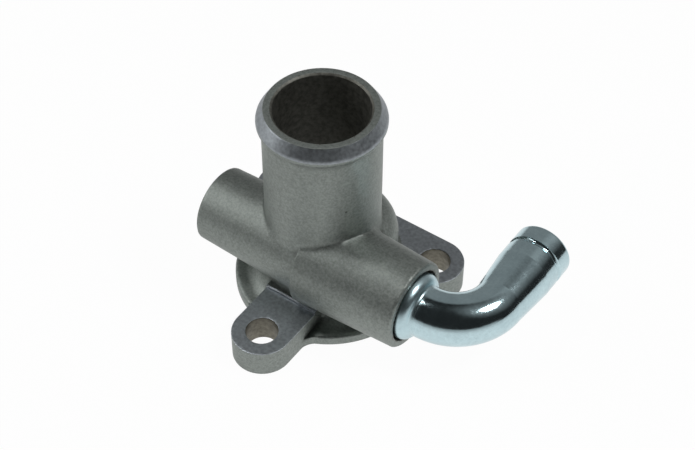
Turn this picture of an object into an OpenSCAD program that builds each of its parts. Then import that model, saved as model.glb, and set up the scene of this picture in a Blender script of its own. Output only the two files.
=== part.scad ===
// Coolant outlet housing of a car engine: an aluminium casting that bolts over the thermostat
// and a plated steel heater pipe that is pressed into its side.
// Millimetres. The origin is the centre of the thermostat's seat on the flange face, +Z runs up
// towards the hose neck and +X along the boss that holds the pipe.

/* [Hose neck] */
// Outside diameter of the neck that the radiator hose slides over
neck_od = 32; // [29:0.5:33]
// Diameter of the waterway through the neck
neck_bore = 26; // [20:0.5:27]
// Height of the neck's mouth above the flange face
neck_height = 66; // [50:1:90]
// Distance of the neck's axis in front of the seat's axis
neck_offset = 2.5; // [0:0.25:3]
// Rise of the hose bead above the neck
bead_rise = 1.3; // [0.6:0.1:2]
// Distance of the bead's crest below the mouth
bead_drop = 3.8; // [3:0.1:6]
// Radius of the bead's rounding
bead_round = 2.2; // [1.7:0.1:2.5]
// Radius of the hollow under the bead
bead_cove = 0.8; // [0.5:0.1:3]
// Width of the flat lip round the mouth
lip = 2.3; // [1.5:0.1:2.5]
// Chamfer on the inner edge of the mouth
mouth_chamfer = 0.5; // [0.2:0.1:1]

/* [Valve chamber] */
// Outside diameter of the round chamber under the neck
chamber_od = 39; // [38:0.5:41]
// Wall of the chamber
chamber_wall = 2.5; // [2:0.25:3]
// Height of the chamber's roof above the flange face
chamber_height = 25; // [23:0.5:28]
// Thickness of the roof
roof = 3.5; // [2.5:0.25:5]
// Radius of the shoulder round the roof
shoulder_round = 7.5; // [4:0.25:8]
// Radius of the corner inside the roof
ceiling_round = 4; // [2:0.5:6]
// Width of the ledge that the thermostat's flange rests on
seat_ledge = 2; // [0.75:0.25:2.5]
// Depth of the thermostat's seat below the flange face
seat_depth = 2.6; // [1.5:0.1:3]

/* [Flange] */
// How far the round flange stands out beyond the chamber
flange_lip = 7.2; // [6.5:0.1:8]
// Thickness of the flange's rim
rim = 3.1; // [2.5:0.1:4]
// Radius of the rim's upper edge
rim_round = 1; // [0.3:0.1:1.5]
// Radius of the fillet from the rim up to the chamber
rim_fillet = 5; // [2:0.1:5]

/* [Bolt ears] */
// Distance of the two rear bolts behind the seat's axis
rear_bolt_y = 14.7; // [12:0.1:16]
// Distance between the two rear bolts
rear_bolt_spacing = 52.5; // [46:0.5:60]
// Offset of the rear pair along +X
rear_bolt_shift = -0.1; // [-2:0.1:2]
// Distance of the front bolt in front of the seat's axis
front_bolt_y = 33.7; // [31:0.1:40]
// Offset of the front bolt along +X
front_bolt_shift = 1.8; // [-3:0.1:3]
// Diameter of the bolt holes
bolt_hole = 9; // [6.5:0.1:10]
// Wall of an ear round its hole
ear_wall = 3.9; // [3:0.1:5]
// Thickness of an ear under its spot face
ear_thick = 8.3; // [6:0.1:10]
// Radius of the hollow corner between an ear and the rim
ear_cove = 5; // [2:0.5:9]
// Height of the cast step that the spot face leaves beside the bosses
ledge = 0.9; // [0.4:0.1:2]
// Gap between the spot-face cutter and the bosses
cutter_gap = 0.4; // [0.2:0.1:1]

/* [Bosses] */
// Height of the bosses' common axis above the flange face
boss_axis_z = 18.2; // [17.5:0.1:20]
// Distance of that axis in front of the seat's axis
boss_offset = 9.6; // [8:0.1:10.5]
// Reach of the pipe boss from the seat's axis
pipe_boss_reach = 35.1; // [34:0.1:42]
// Wall of the pipe boss round its counterbore
pipe_boss_wall = 2.1; // [1.8:0.05:2.5]
// Casting draft of the pipe boss, in degrees
pipe_boss_draft = 2.5; // [0.5:0.1:3]
// Distance from the seat's axis to the pipe boss's rear shoulder
pipe_boss_back = 3.8; // [-1:0.1:7]
// Reach of the sensor boss from the seat's axis, on the far side
sensor_boss_reach = 30.9; // [30:0.1:38]
// Diameter of the tapping bore for the temperature sensor
sensor_bore = 12.5; // [10.5:0.1:14]
// Wall of the sensor boss round that bore
sensor_boss_wall = 4.78; // [3:0.02:5.2]
// Casting draft of the sensor boss, in degrees
sensor_boss_draft = 1.7; // [0.5:0.1:2.5]
// Depth of the tapping bore
sensor_depth = 13; // [8:0.5:14]
// Diameter of the water hole from that bore to the chamber
probe_hole = 9.5; // [5:0.5:10]
// Chamfer at the mouth of the tapping bore
sensor_chamfer = 1; // [0.3:0.1:1.5]
// Radius of the bosses' outer edges
boss_round = 0.8; // [0.3:0.1:1.5]

/* [Heater pipe] */
// Outside diameter of the steel tube
pipe_od = 14.6; // [12:0.1:15.5]
// Wall of the tube
pipe_wall = 1.2; // [0.8:0.1:1.6]
// Bend radius at the tube's centre line
bend_radius = 14.2; // [12:0.1:24]
// Depth of the tube in the boss behind its stop collar
press_depth = 12; // [8:0.5:12]
// Film of sealant between the tube and its bore, on the radius
press_gap = 0.02; // [0.01:0.01:0.05]
// Rise of the stop collar above the tube
collar_rise = 2.4; // [1.5:0.1:3]
// Radius of the collar's rounding
collar_round = 2.6; // [2:0.1:3.4]
// Radius of the hollow from the collar to the tube
collar_cove = 1.1; // [0.5:0.1:2]
// Height of the flat on the collar's rounding, where it seats
collar_flat = 0.15; // [0.05:0.05:0.4]
// Gap round the collar in the counterbore
collar_gap = 0.8; // [0.2:0.05:1]
// Depth of the counterbore that the collar seats in
counterbore = 2.4; // [0.8:0.1:3]
// Straight tube from the collar to the bend
bend_lead = 0.1; // [0.05:0.05:6]
// Outside diameter of the swaged hose end
hose_end_od = 16.7; // [16.2:0.1:20]
// Length of the swaged cone
swage = 12; // [4:0.5:15]
// Straight length from the bend to the rolled groove
hose_run = 17.4; // [16.5:0.1:40]
// Depth of the rolled groove
groove_depth = 0.6; // [0.2:0.05:0.7]
// Radius of the rolled groove
groove_round = 0.9; // [0.75:0.05:1.5]
// Length of the end roll beyond the groove
end_roll = 6.2; // [4:0.1:10]
// Radius of the rounded end
end_round = 0.9; // [0.4:0.05:1.1]

/* [Hidden] */
$fn = 96;
eps = 0.01;
overcut = 1;

neck_r = neck_od / 2;
bead_r = neck_r + bead_rise;
chamber_r = chamber_od / 2;
chamber_ir = chamber_r - chamber_wall;
ceiling = chamber_height - roof;
seat_r = chamber_ir + seat_ledge;
flange_r = chamber_r + flange_lip;
neck_base = chamber_height - shoulder_round - overcut;
ear_r = bolt_hole / 2 + ear_wall;
cove_thick = 0.9 * rim;
cove_bite = 0.05;
cove_set = ear_cove - cove_bite;
front_bolt = [front_bolt_shift, -front_bolt_y];
rear_bolts = [for (side = [-1, 1]) [rear_bolt_shift + side * rear_bolt_spacing / 2, rear_bolt_y]];

pipe_r = pipe_od / 2;
pipe_ir = pipe_r - pipe_wall;
collar_r = pipe_r + collar_rise;
hose_r = hose_end_od / 2;
hose_ir = hose_r - pipe_wall;
counterbore_r = collar_r + collar_gap;
collar_seat = pipe_boss_reach - counterbore;
collar_mid = collar_seat + collar_round - collar_flat;
collar_core_r = collar_r - collar_round;
collar_cove_r = pipe_r + collar_cove;
collar_run = sqrt(pow(collar_round + collar_cove, 2) - pow(collar_cove_r - collar_core_r, 2));
bend_start = collar_mid + collar_run + bend_lead;
hose_length = hose_run + end_roll;

boss_overlap = 2;
pipe_boss_r = counterbore_r + pipe_boss_wall;
pipe_boss_length = pipe_boss_reach - pipe_boss_back;
pipe_boss_root_r = pipe_boss_r + pipe_boss_length * tan(pipe_boss_draft);
sensor_boss_r = sensor_bore / 2 + sensor_boss_wall;
sensor_boss_length = sensor_boss_reach + pipe_boss_back + boss_overlap;
sensor_boss_root_r = sensor_boss_r + sensor_boss_length * tan(sensor_boss_draft);
ledge_top = ear_thick + ledge;
boss_overhang = sqrt(max(0, pow(pipe_boss_root_r, 2) - pow(boss_axis_z - ledge_top, 2)));
spot_face_edge = boss_offset + boss_overhang + cutter_gap;

casting_grey = [0.55, 0.56, 0.55];
zinc = [0.76, 0.80, 0.84];

// Turns a profile drawn in radius and height to lie along +X on the bosses' axis.
module on_boss_axis(x = 0) {
    translate([x, -boss_offset, boss_axis_z]) rotate([0, 90, 0]) children();
}

// Places a shape on the neck's axis.
module on_neck_axis() {
    translate([0, -neck_offset, 0]) children();
}

// Revolved outline of the neck, from inside the chamber's wall up to the hose bead, whose flank
// runs from the lip to touch the bead's rounding.
module neck_profile() {
    crest = [bead_r - bead_round, neck_height - bead_drop];
    lip_edge = [neck_bore / 2 + lip, neck_height];
    flank = lip_edge - crest;
    swing = atan2(flank[1], flank[0]) - acos(bead_round / norm(flank));
    touch = crest + bead_round * [cos(swing), sin(swing)];
    run = neck_r + bead_cove - crest[0];
    drop = sqrt(pow(bead_round + bead_cove, 2) - pow(run, 2));
    cove = crest + [run, -drop];
    translate([0, neck_base]) square([neck_r, crest[1] - neck_base]);
    polygon([[0, crest[1]], crest, touch, lip_edge, [0, neck_height]]);
    translate(crest) circle(bead_round);
    difference() {
        polygon([crest, cove, [crest[0], cove[1]]]);
        translate(cove) circle(bead_cove);
    }
}

// Revolved outline of the chamber and the round flange.
module chamber_profile() {
    shoulder_x = chamber_r - shoulder_round;
    shoulder_y = chamber_height - shoulder_round;
    square([chamber_r, shoulder_y]);
    square([shoulder_x, chamber_height]);
    translate([shoulder_x, shoulder_y]) circle(shoulder_round);
    square([flange_r, rim - rim_round]);
    square([flange_r - rim_round, rim]);
    translate([flange_r - rim_round, rim - rim_round]) circle(rim_round);
    difference() {
        square([chamber_r + rim_fillet, rim + rim_fillet]);
        translate([chamber_r + rim_fillet, rim + rim_fillet]) circle(rim_fillet);
    }
}

// Revolved hollow of the thermostat's seat and the chamber.
module chamber_hollow() {
    corner_x = chamber_ir - ceiling_round;
    corner_y = ceiling - ceiling_round;
    translate([0, -overcut]) square([seat_r, seat_depth + overcut]);
    square([chamber_ir, corner_y]);
    square([corner_x, ceiling]);
    translate([corner_x, corner_y]) circle(ceiling_round);
}

// Revolved waterway of the neck, with the chamfer at its mouth.
module neck_hollow() {
    bore_r = neck_bore / 2;
    translate([0, ceiling - ceiling_round])
        square([bore_r, neck_height - ceiling + ceiling_round + overcut]);
    chamfer_cut = mouth_chamfer + eps;
    translate([0, neck_height - mouth_chamfer])
        polygon([[0, 0], [bore_r, 0], [bore_r + chamfer_cut, chamfer_cut], [0, chamfer_cut]]);
}

// Plan of the front ear, a tongue with a round end about its bolt hole.
module front_ear() {
    translate(front_bolt) circle(ear_r);
    translate([front_bolt_shift - ear_r, -front_bolt_y]) square([2 * ear_r, front_bolt_y]);
}

// Plan of the two rear ears, which run into one straight bar.
module rear_bar() {
    for (bolt = rear_bolts) translate(bolt) circle(ear_r);
    translate([rear_bolts[0][0], rear_bolt_y - ear_r]) square([rear_bolt_spacing, 2 * ear_r]);
}

// Hollow corners between the front ear's straight sides and the flange's rim.
module front_coves() {
    reach = flange_r + cove_set;
    for (side = [-1, 1]) {
        x = front_bolt_shift + side * (ear_r + cove_set);
        y = -sqrt(pow(reach, 2) - pow(x, 2));
        difference() {
            polygon([[front_bolt_shift, y], [x, y], [0, 0]]);
            translate([x, y]) circle(ear_cove);
        }
    }
}

// Hollow corners between the rear ears' round ends and the flange's rim.
module rear_coves() {
    reach = flange_r + cove_set;
    for (side = [0, 1]) {
        bolt = rear_bolts[side];
        far = norm(bolt);
        along = (pow(far, 2) + pow(reach, 2) - pow(ear_r + cove_set, 2)) / (2 * far);
        across = (1 - 2 * side) * sqrt(pow(reach, 2) - pow(along, 2));
        centre = (along * bolt + across * [-bolt[1], bolt[0]]) / far;
        difference() {
            polygon([[0, 0], centre, bolt]);
            translate(centre) circle(ear_cove);
        }
    }
}

module ears() {
    linear_extrude(ear_thick) front_ear();
    linear_extrude(ear_thick) rear_bar();
    linear_extrude(cove_thick) front_coves();
    linear_extrude(cove_thick) rear_coves();
}

// Cast step under the bosses, which the front ear's spot face stops short of.
module front_ledge() {
    intersection() {
        linear_extrude(ledge_top) front_ear();
        translate([-chamber_r, -spot_face_edge, 0]) cube([chamber_od, spot_face_edge, ledge_top]);
    }
}

// A drafted round boss along the axis from its root, with a rounded outer edge.
module boss(root_r, end_r, length) {
    rotate_extrude() {
        polygon([[0, 0], [root_r, 0], [end_r, length - boss_round], [0, length - boss_round]]);
        square([end_r - boss_round, length]);
        translate([end_r - boss_round, length - boss_round]) intersection() {
            circle(boss_round);
            square(boss_round);
        }
    }
}

module pipe_boss() {
    on_boss_axis(pipe_boss_back) boss(pipe_boss_root_r, pipe_boss_r, pipe_boss_length);
}

module sensor_boss() {
    on_boss_axis(pipe_boss_back + boss_overlap) mirror([0, 0, 1])
        boss(sensor_boss_root_r, sensor_boss_r, sensor_boss_length);
}

// Bores on the bosses' axis: counterbore, press bore and passage for the pipe, then the sensor's port.
module boss_bores() {
    press_r = pipe_r + press_gap;
    on_boss_axis(collar_seat) cylinder(r = counterbore_r, h = counterbore + overcut);
    on_boss_axis(collar_seat - press_depth) cylinder(r = press_r, h = press_depth + eps);
    on_boss_axis() cylinder(r = pipe_ir, h = collar_seat);
    on_boss_axis(-sensor_boss_reach - eps) cylinder(d = sensor_bore, h = sensor_depth + eps);
    on_boss_axis(-sensor_boss_reach) cylinder(d = probe_hole, h = sensor_boss_reach);
    on_boss_axis(-sensor_boss_reach - eps)
        cylinder(r1 = sensor_bore / 2 + sensor_chamfer, r2 = sensor_bore / 2, h = sensor_chamfer);
}

module bolt_holes() {
    for (bolt = concat([front_bolt], rear_bolts))
        translate([bolt[0], bolt[1], -overcut]) cylinder(d = bolt_hole, h = ear_thick + 2 * overcut);
}

// The aluminium casting, with its faces and bores machined.
module housing() {
    color(casting_grey) difference() {
        union() {
            rotate_extrude() chamber_profile();
            on_neck_axis() rotate_extrude() neck_profile();
            ears();
            front_ledge();
            pipe_boss();
            sensor_boss();
        }
        rotate_extrude() chamber_hollow();
        on_neck_axis() rotate_extrude() neck_hollow();
        boss_bores();
        bolt_holes();
    }
}

// Wall of the pressed end and the stop collar, in radius and distance from the collar's seat.
module shank_profile() {
    crest = collar_mid - collar_seat;
    difference() {
        union() {
            translate([0, -press_depth]) square([pipe_r, press_depth + bend_start - collar_seat]);
            intersection() {
                translate([collar_core_r, crest]) circle(collar_round);
                square([collar_r, 2 * collar_round]);
            }
            difference() {
                polygon([[collar_core_r, crest], [collar_core_r, crest + collar_run],
                         [collar_cove_r, crest + collar_run]]);
                translate([collar_cove_r, crest + collar_run]) circle(collar_cove);
            }
        }
        translate([0, -press_depth - overcut])
            square([pipe_ir, press_depth + bend_start - collar_seat + 2 * overcut]);
    }
}

// Wall of the hose end: swaged cone, straight, rolled groove and rounded end roll.
module hose_end_profile() {
    difference() {
        union() {
            polygon([[pipe_ir, 0], [pipe_r, 0], [hose_r, swage], [hose_r, hose_length - end_round],
                     [hose_ir, hose_length - end_round], [hose_ir, swage]]);
            translate([hose_ir, hose_length - end_round]) square([pipe_wall - end_round, end_round]);
            translate([hose_r - end_round, hose_length - end_round]) intersection() {
                circle(end_round);
                square(end_round);
            }
        }
        translate([hose_r - groove_depth + groove_round, hose_run]) circle(groove_round);
    }
}

// A quarter turn of tube from +X to +Y.
module elbow() {
    translate([bend_start, bend_radius - boss_offset, boss_axis_z]) rotate([0, 0, -90])
        rotate_extrude(angle = 90) translate([bend_radius, 0]) difference() {
            circle(pipe_r);
            circle(pipe_ir);
        }
}

// The leg that runs along +Y from the bend.
module hose_end() {
    translate([bend_start + bend_radius, bend_radius - boss_offset, boss_axis_z]) rotate([-90, 0, 0])
        rotate_extrude() hose_end_profile();
}

// The zinc-plated steel tube, bent, upset and swaged from one length.
module heater_pipe() {
    color(zinc) union() {
        on_boss_axis(collar_seat) rotate_extrude() shank_profile();
        elbow();
        hose_end();
    }
}

housing();
heater_pipe();
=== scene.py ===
import math

import bmesh
import bpy
import numpy as np
from mathutils import Matrix, Vector


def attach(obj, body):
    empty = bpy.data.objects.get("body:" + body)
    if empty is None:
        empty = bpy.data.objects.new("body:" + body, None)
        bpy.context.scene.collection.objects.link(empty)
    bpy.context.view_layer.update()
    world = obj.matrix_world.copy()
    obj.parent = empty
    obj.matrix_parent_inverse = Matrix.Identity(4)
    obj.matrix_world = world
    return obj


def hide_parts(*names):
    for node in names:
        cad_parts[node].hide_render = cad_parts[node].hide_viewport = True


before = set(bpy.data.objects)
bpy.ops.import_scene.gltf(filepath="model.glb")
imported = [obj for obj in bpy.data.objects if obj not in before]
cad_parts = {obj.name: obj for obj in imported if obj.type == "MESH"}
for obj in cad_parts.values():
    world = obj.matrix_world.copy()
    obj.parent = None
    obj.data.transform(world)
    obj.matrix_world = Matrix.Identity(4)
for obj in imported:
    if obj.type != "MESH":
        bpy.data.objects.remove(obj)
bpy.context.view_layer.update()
bpy.context.scene.view_settings.view_transform = "Standard"

# The casting: one piece of cast aluminium with the hose neck, the valve chamber, the flange and two
# bosses. It is blasted with fine beads, then its bolt faces, bead and bores are machined, and the
# corners where the round forms run into each other are filled by small cast fillets.
MM = 0.001
X, Y, Z = range(3)
# Axes and faces of the casting, in mm in the part's own frame
SEAT_CENTRE = (0.0, 0.0, 0.0)
NECK_CENTRE = (0.0, -2.5, 0.0)
BOSS_CENTRE = (0.0, -9.6, 18.2)
BOLT_CENTRES = ((1.8, -33.7, 0.0), (-26.35, 14.7, 0.0), (26.15, 14.7, 0.0))
PIPE_BOSS_END = 35.1
SENSOR_BOSS_END = -30.9
SPOT_FACE_Z = 8.3
STEP_Y, STEP_Z = -20.68, 9.2
BEAD_FOOT_Z = 59.6
BEAD_CUT_Z = 62.4
# Radii of the bores with a little to spare, and how far each bore reaches
NECK_BORE, NECK_BORE_FROM_Z = 13.6, 16.0
CHAMBER, CHAMBER_TOP_Z = 17.4, 21.8
SEAT, SEAT_TOP_Z = 19.2, 2.8
COUNTERBORE, COUNTERBORE_FROM_X = 10.8, 32.4
PRESS_BORE = 7.6
BOLT_HOLE = 4.8


def from_axis(points, centre, axis):
    """Distance of each point from the line through centre along one of the axes."""
    return np.linalg.norm(np.delete(points - np.array(centre), axis, axis=1), axis=1)


def in_bores(points):
    """Which points are on the walls of the waterway, the bolt holes and the bosses' bores."""
    to_seat = from_axis(points, SEAT_CENTRE, Z)
    to_boss = from_axis(points, BOSS_CENTRE, X)
    found = (from_axis(points, NECK_CENTRE, Z) < NECK_BORE) & (points[:, Z] > NECK_BORE_FROM_Z)
    found |= (to_seat < CHAMBER) & (points[:, Z] < CHAMBER_TOP_Z)
    found |= (to_seat < SEAT) & (points[:, Z] < SEAT_TOP_Z)
    found |= (to_boss < COUNTERBORE) & (points[:, X] > COUNTERBORE_FROM_X)
    found |= to_boss < PRESS_BORE
    for centre in BOLT_CENTRES:
        found |= from_axis(points, centre, Z) < BOLT_HOLE
    return found


def averager(mesh):
    """Gives a function that sets each point of the mesh to the mean of its neighbours' values."""
    ends = np.empty(len(mesh.edges) * 2, int)
    mesh.edges.foreach_get("vertices", ends)
    ends = ends.reshape(-1, 2)
    count = np.bincount(ends.ravel(), minlength=len(mesh.vertices))

    def mean(values):
        total = np.zeros_like(values)
        np.add.at(total, ends[:, 0], values[ends[:, 1]])
        np.add.at(total, ends[:, 1], values[ends[:, 0]])
        return (total.T / count).T

    return mean


def hollows(mesh, points, mean):
    """How far each point lies below its neighbours, and the direction out of the metal there."""
    outward = np.empty(len(points) * 3)
    mesh.vertex_normals.foreach_get("vector", outward)
    outward = outward.reshape(-1, 3)
    return ((mean(points) - points) * outward).sum(1), outward


FILLET_ROUNDS = 8
FILLET_STEP = 0.7


def cast_fillets(mesh, points, mean, held):
    """Fills the hollow corners of a mesh: every point that lies below its neighbours rises to them."""
    for _ in range(FILLET_ROUNDS):
        depth, outward = hollows(mesh, points, mean)
        rise = np.where(held, 0.0, np.maximum(depth, 0.0))
        points = points + FILLET_STEP * rise[:, None] * outward
        mesh.vertices.foreach_set("co", points.ravel())
        mesh.update()
    return points


# A copy of the CAD mesh, merged and then covered evenly with small faces
SEAM = 0.002
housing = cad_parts["housing"]
cast = bmesh.new()
cast.from_mesh(housing.data)
bmesh.ops.remove_doubles(cast, verts=cast.verts, dist=SEAM * MM)
casting_mesh = bpy.data.meshes.new("casting")
cast.to_mesh(casting_mesh)
cast.free()
casting = bpy.data.objects.new("casting", casting_mesh)
bpy.context.scene.collection.objects.link(casting)
even = casting.modifiers.new("even_mesh", "REMESH")
even.mode = "SHARP"
even.octree_depth = 7
even.scale = 0.9
even.sharpness = 1.0
even.use_remove_disconnected = False
bpy.context.view_layer.objects.active = casting
bpy.ops.object.modifier_apply(modifier="even_mesh")
casting_mesh = casting.data
points = np.empty(len(casting_mesh.vertices) * 3)
casting_mesh.vertices.foreach_get("co", points)
points = points.reshape(-1, 3)
spots = points / MM

# The bores, the bead, the flange face and the front ear's tongue keep the shape that the CAD gives
ON_FACE = 0.1
TONGUE_HALF_WIDTH = 8.6
TONGUE_BACK_Y = -18.0
TONGUE_TOP_Z = 9.4
held = in_bores(spots) | (spots[:, Z] > BEAD_FOOT_Z) | (spots[:, Z] < ON_FACE / 2)
tongue = np.abs(spots[:, X] - BOLT_CENTRES[0][X]) < TONGUE_HALF_WIDTH
held |= tongue & (spots[:, Y] < TONGUE_BACK_Y) & (spots[:, Z] < TONGUE_TOP_Z)
mean = averager(casting_mesh)
points = cast_fillets(casting_mesh, points, mean, held)

# At the back the flange's round edge is blended into the straight bar of the rear ears
REAR_HALF_WIDTH = 18.0
REAR_FROM_Y = 21.0
REAR_LOW_Z, REAR_TOP_Z = 0.6, 7.8
REAR_ROUNDS = 12
rear = (np.abs(spots[:, X]) < REAR_HALF_WIDTH) & (spots[:, Y] > REAR_FROM_Y)
rear &= (spots[:, Z] > REAR_LOW_Z) & (spots[:, Z] < REAR_TOP_Z)
for _ in range(REAR_ROUNDS):
    points[rear] = mean(points)[rear]
casting_mesh.vertices.foreach_set("co", points.ravel())
casting_mesh.update()

# Painted shade: the hollow corners are painted darker than the rest, the more the deeper they are in mm
SHADE_ROUNDS = 5
SHADE_FROM, SHADE_RANGE = 0.01, 0.03
soot = np.where(rear, 0.0, np.maximum(hollows(casting_mesh, points, mean)[0], 0.0)) / MM
for _ in range(SHADE_ROUNDS):
    soot = mean(soot)
shade_attribute = casting_mesh.attributes.new("soot", "FLOAT", "POINT")
shade_attribute.data.foreach_set("value", np.clip((soot - SHADE_FROM) / SHADE_RANGE, 0.0, 1.0))

# The sharp edges are broken, by widths in mm that differ with the place
CORNER_BREAK, BOSS_RIM_BREAK, EAR_BREAK, STEP_BREAK = 0.25, 0.6, 0.4, 0.7
SHARP_EDGE = math.radians(40)
BOSS_RIM_FROM = 11.2
ON_STEP = 0.3
cast = bmesh.new()
cast.from_mesh(casting_mesh)
corners, boss_rim, ear_edges, step = [], [], [], []
for edge in cast.edges:
    if edge.is_convex and edge.calc_face_angle(0.0) > SHARP_EDGE:
        middle = (edge.verts[0].co + edge.verts[1].co) / 2 / MM
        to_boss = math.hypot(middle.y - BOSS_CENTRE[Y], middle.z - BOSS_CENTRE[Z])
        if abs(middle.y - STEP_Y) < ON_STEP and abs(middle.z - STEP_Z) < ON_STEP:
            step.append(edge)
        elif abs(middle.z - SPOT_FACE_Z) < ON_FACE:
            ear_edges.append(edge)
        elif abs(middle.x - PIPE_BOSS_END) < ON_FACE and to_boss > BOSS_RIM_FROM:
            boss_rim.append(edge)
        else:
            corners.append(edge)
for edges, width in ((corners, CORNER_BREAK), (boss_rim, BOSS_RIM_BREAK),
                     (ear_edges, EAR_BREAK), (step, STEP_BREAK)):
    bmesh.ops.bevel(cast, geom=[edge for edge in edges if edge.is_valid], offset=width * MM, segments=2,
                    profile=0.5, affect="EDGES", clamp_overlap=True, material=-1)
cast.to_mesh(casting_mesh)
cast.free()
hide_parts("housing")
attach(casting, "root")


class Wire:
    """An output of a shader node. Arithmetic on it adds Math nodes to the same finish."""

    def __init__(self, finish, socket):
        self.finish = finish
        self.socket = socket

    def math(self, operation, other):
        return self.finish.node("ShaderNodeMath", {"operation": operation}, {0: self, 1: other})

    def __add__(self, other):
        return self.math("ADD", other)

    def __mul__(self, other):
        return self.math("MULTIPLY", other)

    __radd__ = __add__
    __rmul__ = __mul__


class Finish:
    """The nodes of a material or of the room, with one method that adds any node."""

    # Places of the Mix node's colour sockets, which share their names with its other sockets
    MIX_AMOUNT, MIX_COLOUR, MIX_WITH, MIXED = 0, 6, 7, 2

    def __init__(self, owner):
        owner.use_nodes = True
        self.owner = owner
        self.tree = owner.node_tree
        self.shader = self.tree.nodes.get("Principled BSDF")

    def node(self, kind, settings=None, sockets=None, out=0):
        """Adds a node with its settings and the values or wires of its sockets, and gives an output."""
        made = self.tree.nodes.new(kind)
        for name, value in (settings or {}).items():
            if name == "stops":
                ramp = made.color_ramp
                while len(ramp.elements) < len(value):
                    ramp.elements.new(1.0)
                for element, (place, colour) in zip(ramp.elements, value):
                    element.position = place
                    element.color = (*colour, 1.0)
            else:
                setattr(made, name, value)
        self.fill(made, sockets or {})
        return Wire(self, made.outputs[out])

    def fill(self, made, sockets):
        """Gives each socket of a node its value, or links a wire to it."""
        for name, value in sockets.items():
            if isinstance(value, Wire):
                self.tree.links.new(value.socket, made.inputs[name])
            else:
                made.inputs[name].default_value = value

    def noise(self, place, scale, detail, roughness=0.5):
        """Soft random patches, as values about 0.5."""
        return self.node("ShaderNodeTexNoise", {}, {"Vector": place, "Scale": scale, "Detail": detail,
                                                    "Roughness": roughness})

    def shades(self, value, *stops):
        """The colour of a value on a scale of colours, each given with its place on the scale."""
        return self.node("ShaderNodeValToRGB", {"stops": stops}, {"Fac": value})

    def bumps(self, height, strength, depth):
        """The normal of a surface that a pattern makes uneven, with the depth in mm."""
        return self.node("ShaderNodeBump", {}, {"Strength": strength, "Distance": depth * MM,
                                                "Height": height})

    def fade(self, value, start, end, low=0.0, high=1.0):
        """Goes from low to high while a value goes from start to end."""
        return self.node("ShaderNodeMapRange", {}, {"Value": value, "From Min": start, "From Max": end,
                                                    "To Min": low, "To Max": high})

    def darkened(self, tone, amount, shade_and_pit_colour):
        """A colour multiplied with a darker one's, by an amount from 0 to 1, for painted shade and
        pits.
        """
        return self.node("ShaderNodeMix", {"data_type": "RGBA", "blend_type": "MULTIPLY"},
                         {self.MIX_AMOUNT: amount, self.MIX_COLOUR: tone, self.MIX_WITH: shade_and_pit_colour},
                         out=self.MIXED)


# Blasted skin: a fine grain with painted shade in the hollow corners and a few small pits
DARK_BLAST, LIGHT_BLAST = (0.22, 0.24, 0.226), (0.345, 0.377, 0.354)
# A grey for the painted shade in the corners and for the pits
SHADE_AND_PIT_GREY = (0.2, 0.2, 0.19, 1.0)
GRAIN_SHARE, MOTTLE_SHARE, CLOUD_SHARE = 0.72, 0.22, 0.06
SHADE_SHARE, PIT_SHARE = 0.6, 0.8
blasted = Finish(bpy.data.materials.new("blasted_casting"))
place = blasted.node("ShaderNodeTexCoord", out="Object")
grain = blasted.noise(place, scale=1500.0, detail=2.0, roughness=0.7)
mottle = blasted.noise(place, scale=600.0, detail=3.0, roughness=0.65)
cloud = blasted.noise(place, scale=70.0, detail=3.0)
patches = grain * GRAIN_SHARE + mottle * MOTTLE_SHARE + cloud * CLOUD_SHARE
tone = blasted.shades(patches, (0.36, DARK_BLAST), (0.64, LIGHT_BLAST))
# Painted shade in the hollow corners darkens the grain
corner_shade = blasted.node("ShaderNodeAttribute", {"attribute_name": "soot"}, out="Fac")
tone = blasted.darkened(tone, corner_shade * SHADE_SHARE, SHADE_AND_PIT_GREY)
to_pit = blasted.node("ShaderNodeTexVoronoi", {}, {"Vector": place, "Scale": 110.0}, out="Distance")
tone = blasted.darkened(tone, blasted.fade(to_pit, start=0.05, end=0.03) * PIT_SHARE, SHADE_AND_PIT_GREY)
blasted.fill(blasted.shader, {"Base Color": tone, "Metallic": 1.0, "Roughness": 0.42 + grain * 0.2,
                              "Normal": blasted.bumps(grain + mottle * 0.4, strength=0.26, depth=0.15)})

# Machined faces: lighter and smoother than the skin
DARK_CUT, LIGHT_CUT = (0.30, 0.325, 0.345), (0.41, 0.445, 0.47)
machined = Finish(bpy.data.materials.new("machined_aluminium"))
place = machined.node("ShaderNodeTexCoord", out="Object")
grain = machined.noise(place, scale=1100.0, detail=3.0)
tone = machined.shades(grain, (0.35, DARK_CUT), (0.65, LIGHT_CUT))
machined.fill(machined.shader, {"Base Color": tone, "Metallic": 1.0, "Roughness": 0.33 + grain * 0.15,
                                "Normal": machined.bumps(grain, strength=0.15, depth=0.1)})

# Walls of the bolt holes: smooth and slightly brown, painted dark with the shade inside the holes
DARK_DRILLED_SHADE, LIGHT_DRILLED_SHADE = (0.15, 0.142, 0.115), (0.24, 0.228, 0.188)
drilled_and_shaded = Finish(bpy.data.materials.new("drilled_bore_painted_shade"))
place = drilled_and_shaded.node("ShaderNodeTexCoord", out="Object")
grain = drilled_and_shaded.noise(place, scale=900.0, detail=3.0)
tone = drilled_and_shaded.shades(grain, (0.35, DARK_DRILLED_SHADE), (0.65, LIGHT_DRILLED_SHADE))
drilled_and_shaded.fill(drilled_and_shaded.shader, {"Base Color": tone, "Metallic": 1.0, "Roughness": 0.35 + grain * 0.15})

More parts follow.
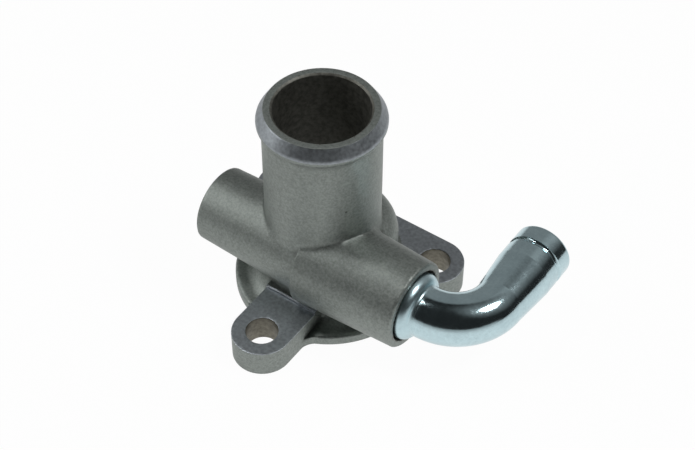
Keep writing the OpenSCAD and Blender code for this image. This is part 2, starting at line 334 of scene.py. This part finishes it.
# Walls of the waterway and the bosses' bores: coarse cast skin, darker still with painted shade inside
# the bores
DARK_SKIN_SHADE, LIGHT_SKIN_SHADE = (0.13, 0.13, 0.115), (0.24, 0.24, 0.215)
skin_and_shade = Finish(bpy.data.materials.new("cast_skin_painted_shade"))
place = skin_and_shade.node("ShaderNodeTexCoord", out="Object")
grain = skin_and_shade.noise(place, scale=700.0, detail=4.0, roughness=0.6)
tone = skin_and_shade.shades(grain, (0.35, DARK_SKIN_SHADE), (0.65, LIGHT_SKIN_SHADE))
skin_and_shade.fill(skin_and_shade.shader, {"Base Color": tone, "Metallic": 1.0, "Roughness": 0.5 + grain * 0.2,
                        "Normal": skin_and_shade.bumps(grain, strength=0.3, depth=0.2)})

# Each face gets its finish from its place in mm and from how much of its normal lies on an axis
BLASTED, MACHINED, SKIN_AND_SHADE, DRILLED_AND_SHADED = range(4)
MOUTH_RADIUS = 13.9
BOLT_WALL_RADIUS = 4.6
EAR_BAND = 0.25
LEDGE_REACH = 0.8
LEVEL, SQUARE_ON, SIDEWAYS, STEEP = 0.97, 0.9, 0.3, 0.25
SHADED_EDGE = math.radians(32)
casting_mesh.materials.clear()
for finish in (blasted, machined, skin_and_shade, drilled_and_shaded):
    casting_mesh.materials.append(finish.owner)
middles = np.empty(len(casting_mesh.polygons) * 3)
facing = np.empty(len(casting_mesh.polygons) * 3)
casting_mesh.polygons.foreach_get("center", middles)
casting_mesh.polygons.foreach_get("normal", facing)
middles, facing = middles.reshape(-1, 3) / MM, facing.reshape(-1, 3)
bead_flank = (middles[:, Z] > BEAD_CUT_Z) & (from_axis(middles, NECK_CENTRE, Z) > MOUTH_RADIUS)
cut = bead_flank & (facing[:, Z] < LEVEL)
cut |= (np.abs(middles[:, Z] - SPOT_FACE_Z + EAR_BREAK / 2) < EAR_BAND) & (facing[:, Z] > STEEP)
ledge = (np.abs(middles[:, Y] - STEP_Y) < LEDGE_REACH) & (np.abs(middles[:, Z] - STEP_Z) < LEDGE_REACH)
cut |= ledge & (np.abs(facing[:, X]) < SIDEWAYS)
cut |= (middles[:, Z] < ON_FACE) & (facing[:, Z] < -SQUARE_ON)
cut |= (np.abs(middles[:, X] - SENSOR_BOSS_END) < ON_FACE) & (facing[:, X] < -SQUARE_ON)
# Faces inside the bores get the cast skin with painted shade
finish_of = np.where(cut, MACHINED, np.where(in_bores(middles), SKIN_AND_SHADE, BLASTED))
# The bolt holes' walls get the drilled finish with its painted shade
for centre in BOLT_CENTRES:
    bolt_wall = (from_axis(middles, centre, Z) < BOLT_WALL_RADIUS) & (np.abs(facing[:, Z]) < STEEP)
    finish_of[bolt_wall] = DRILLED_AND_SHADED
casting_mesh.polygons.foreach_set("material_index", finish_of.astype(np.int32))
casting_mesh.shade_smooth()
casting_mesh.set_sharp_from_angle(angle=SHADED_EDGE)

# The heater pipe: a steel tube, upset to a stop collar, bent square, swaged at its hose end and
# pressed into the casting. It is bright zinc plated with a faint blue passivation, and it is
# duller by the collar.
DARK_ZINC, LIGHT_ZINC = (0.46, 0.60, 0.64), (0.60, 0.77, 0.81)
DULL_FROM_X, DULL_TO_X, DULL_ROUGHNESS = 39.6, 38.0, 0.2
zinc = Finish(bpy.data.materials.new("bright_zinc"))
place = zinc.node("ShaderNodeTexCoord", out="Object")
haze = zinc.noise(place, scale=220.0, detail=4.0)
scuff = zinc.noise(place, scale=1100.0, detail=3.0, roughness=0.6)
tone = zinc.shades(haze * 0.5 + scuff * 0.5, (0.3, DARK_ZINC), (0.7, LIGHT_ZINC))
along = zinc.node("ShaderNodeSeparateXYZ", {}, {"Vector": place}, out="X")
dull = zinc.fade(along, start=DULL_FROM_X * MM, end=DULL_TO_X * MM, high=DULL_ROUGHNESS)
zinc.fill(zinc.shader, {"Base Color": tone, "Metallic": 1.0,
                        "Roughness": 0.04 + haze * 0.1 + scuff * 0.08 + dull,
                        "Normal": zinc.bumps(scuff + haze * 0.6, strength=0.15, depth=0.08)})
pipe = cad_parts["heater_pipe"]
pipe.data.materials.clear()
pipe.data.materials.append(zinc.owner)

# The table: a plain white sheet that the part stands on, with nothing fixed to it. The camera
# sees it as even white. Bright metal mirrors it with painted light, lightest near the part and to the
# right.
SHEET_RADIUS = 0.9
WHITE = (1.0, 1.0, 1.0, 1.0)
SHEET_WHITE = (0.9, 0.9, 0.9, 1.0)
SHEET_SEEN = 0.97


def ray(finish, kind):
    """1 for a ray of this kind, and 0 for any other."""
    return finish.node("ShaderNodeLightPath", out=kind)


floor_mesh = bpy.data.meshes.new("table")
table = bmesh.new()
bmesh.ops.create_circle(table, cap_ends=True, segments=64, radius=SHEET_RADIUS)
table.to_mesh(floor_mesh)
table.free()
floor = bpy.data.objects.new("table", floor_mesh)
bpy.context.scene.collection.objects.link(floor)
sheet = Finish(bpy.data.materials.new("white_sheet"))
sheet.fill(sheet.shader, {"Base Color": SHEET_WHITE, "Roughness": 0.9})
place = sheet.node("ShaderNodeTexCoord", out="Object")
reach = sheet.node("ShaderNodeVectorMath", {"operation": "LENGTH"}, {0: place}, out="Value")
to_right = sheet.node("ShaderNodeSeparateXYZ", {}, {"Vector": place}, out="X")
# Painted light: in mirrors the sheet glows brighter near the part and towards the lamp on the right
painted_light_near = sheet.fade(reach, start=0.03, end=0.2, low=0.82, high=0.25)
painted_light_right = sheet.fade(to_right, start=-0.12, end=0.12, low=0.45, high=1.3)
mirrored = ray(sheet, "Is Glossy Ray") + ray(sheet, "Is Transmission Ray")
seen = ray(sheet, "Is Camera Ray") * SHEET_SEEN + mirrored * painted_light_near * painted_light_right
white = sheet.node("ShaderNodeEmission", {}, {"Color": WHITE, "Strength": 1.0})
lit = Wire(sheet, sheet.shader.outputs["BSDF"])
shown = sheet.node("ShaderNodeMixShader", {}, {0: seen, 1: lit, 2: white})
sheet.fill(sheet.tree.nodes["Material Output"], {"Surface": shown})
floor_mesh.materials.append(sheet.owner)

# The room: dim, with a light wall behind, a soft glow above on the right and a pale screen low in
# front. Three lamps with round diffusers hang in it. The camera sees plain white past the table.
ROOM_LIGHT, WALL_LIGHT, GLOW_LIGHT, SCREEN_LIGHT = 0.022, 0.23, 0.17, 0.45
room = Finish(bpy.data.worlds.new("room"))
bpy.context.scene.world = room.owner
direction = room.node("ShaderNodeTexCoord", out="Generated")


def towards(x, y, z):
    """How much of a ray's direction lies along this one."""
    return room.node("ShaderNodeVectorMath", {"operation": "DOT_PRODUCT"}, {0: direction, 1: (x, y, z)},
                     out="Value")


def looking(place, aim):
    """The placing of a lamp or camera that stands at one place and looks at another."""
    turn = (Vector(aim) - Vector(place)).to_track_quat("-Z", "Y").to_matrix().to_4x4()
    return Matrix.Translation(place) @ turn


def softbox(name, place, aim, size, power):
    """A lamp with a round diffuser of this size in metres and this power in watts."""
    lamp = bpy.data.lights.new(name, "AREA")
    lamp.shape = "DISK"
    lamp.size = size
    lamp.energy = power
    holder = bpy.data.objects.new(name, lamp)
    holder.matrix_world = looking(place, aim)
    bpy.context.scene.collection.objects.link(holder)


wall = room.fade(towards(-0.30, 0.80, -0.05), start=0.28, end=0.38) * WALL_LIGHT
glow = room.fade(towards(0.46, 0.31, 0.83), start=0.8, end=0.97) * GLOW_LIGHT
low = room.fade(towards(0.0, 0.0, 1.0), start=0.12, end=0.05)
in_front = room.fade(towards(0.0, 1.0, 0.0), start=0.1, end=-0.1)
screen = low * in_front * SCREEN_LIGHT
dim = room.node("ShaderNodeBackground", {}, {"Color": ROOM_LIGHT + wall + glow + screen})
bright = room.node("ShaderNodeBackground", {}, {"Color": WHITE, "Strength": 1.0})
shown = room.node("ShaderNodeMixShader", {}, {0: ray(room, "Is Camera Ray"), 1: dim, 2: bright})
room.fill(room.tree.nodes["World Output"], {"Surface": shown})
softbox("left_softbox", place=(-0.43, -0.25, 0.34), aim=(0, 0, 0.03), size=0.45, power=1.15)
softbox("right_softbox", place=(0.334, 0.116, 0.54), aim=(0.03, 0, 0.03), size=0.17, power=1.5)
softbox("overhead_lamp", place=(-0.193, -0.077, 0.569), aim=(0, 0, 0.03), size=0.08, power=0.4)

# The camera: it stands in front of the part, to the right and above it, as in the photograph.
# Its place, aim and lens, in mm, lay the part's outline over the one in the photograph.
CAMERA_PLACE = Vector((179.48, -246.82, 346.57)) * MM
CAMERA_AIM = Vector((5.331, 1.507, 21.691)) * MM
CAMERA_ROLL = math.radians(0.21)
LENS, SENSOR_WIDTH = 83.23, 36.0
NEAREST = 0.01
lens = bpy.data.cameras.new("camera")
lens.sensor_width = SENSOR_WIDTH
lens.lens = LENS
lens.clip_start = NEAREST
camera = bpy.data.objects.new("camera", lens)
camera.matrix_world = looking(CAMERA_PLACE, CAMERA_AIM) @ Matrix.Rotation(CAMERA_ROLL, 4, "Z")
bpy.context.scene.collection.objects.link(camera)
bpy.context.scene.camera = camera
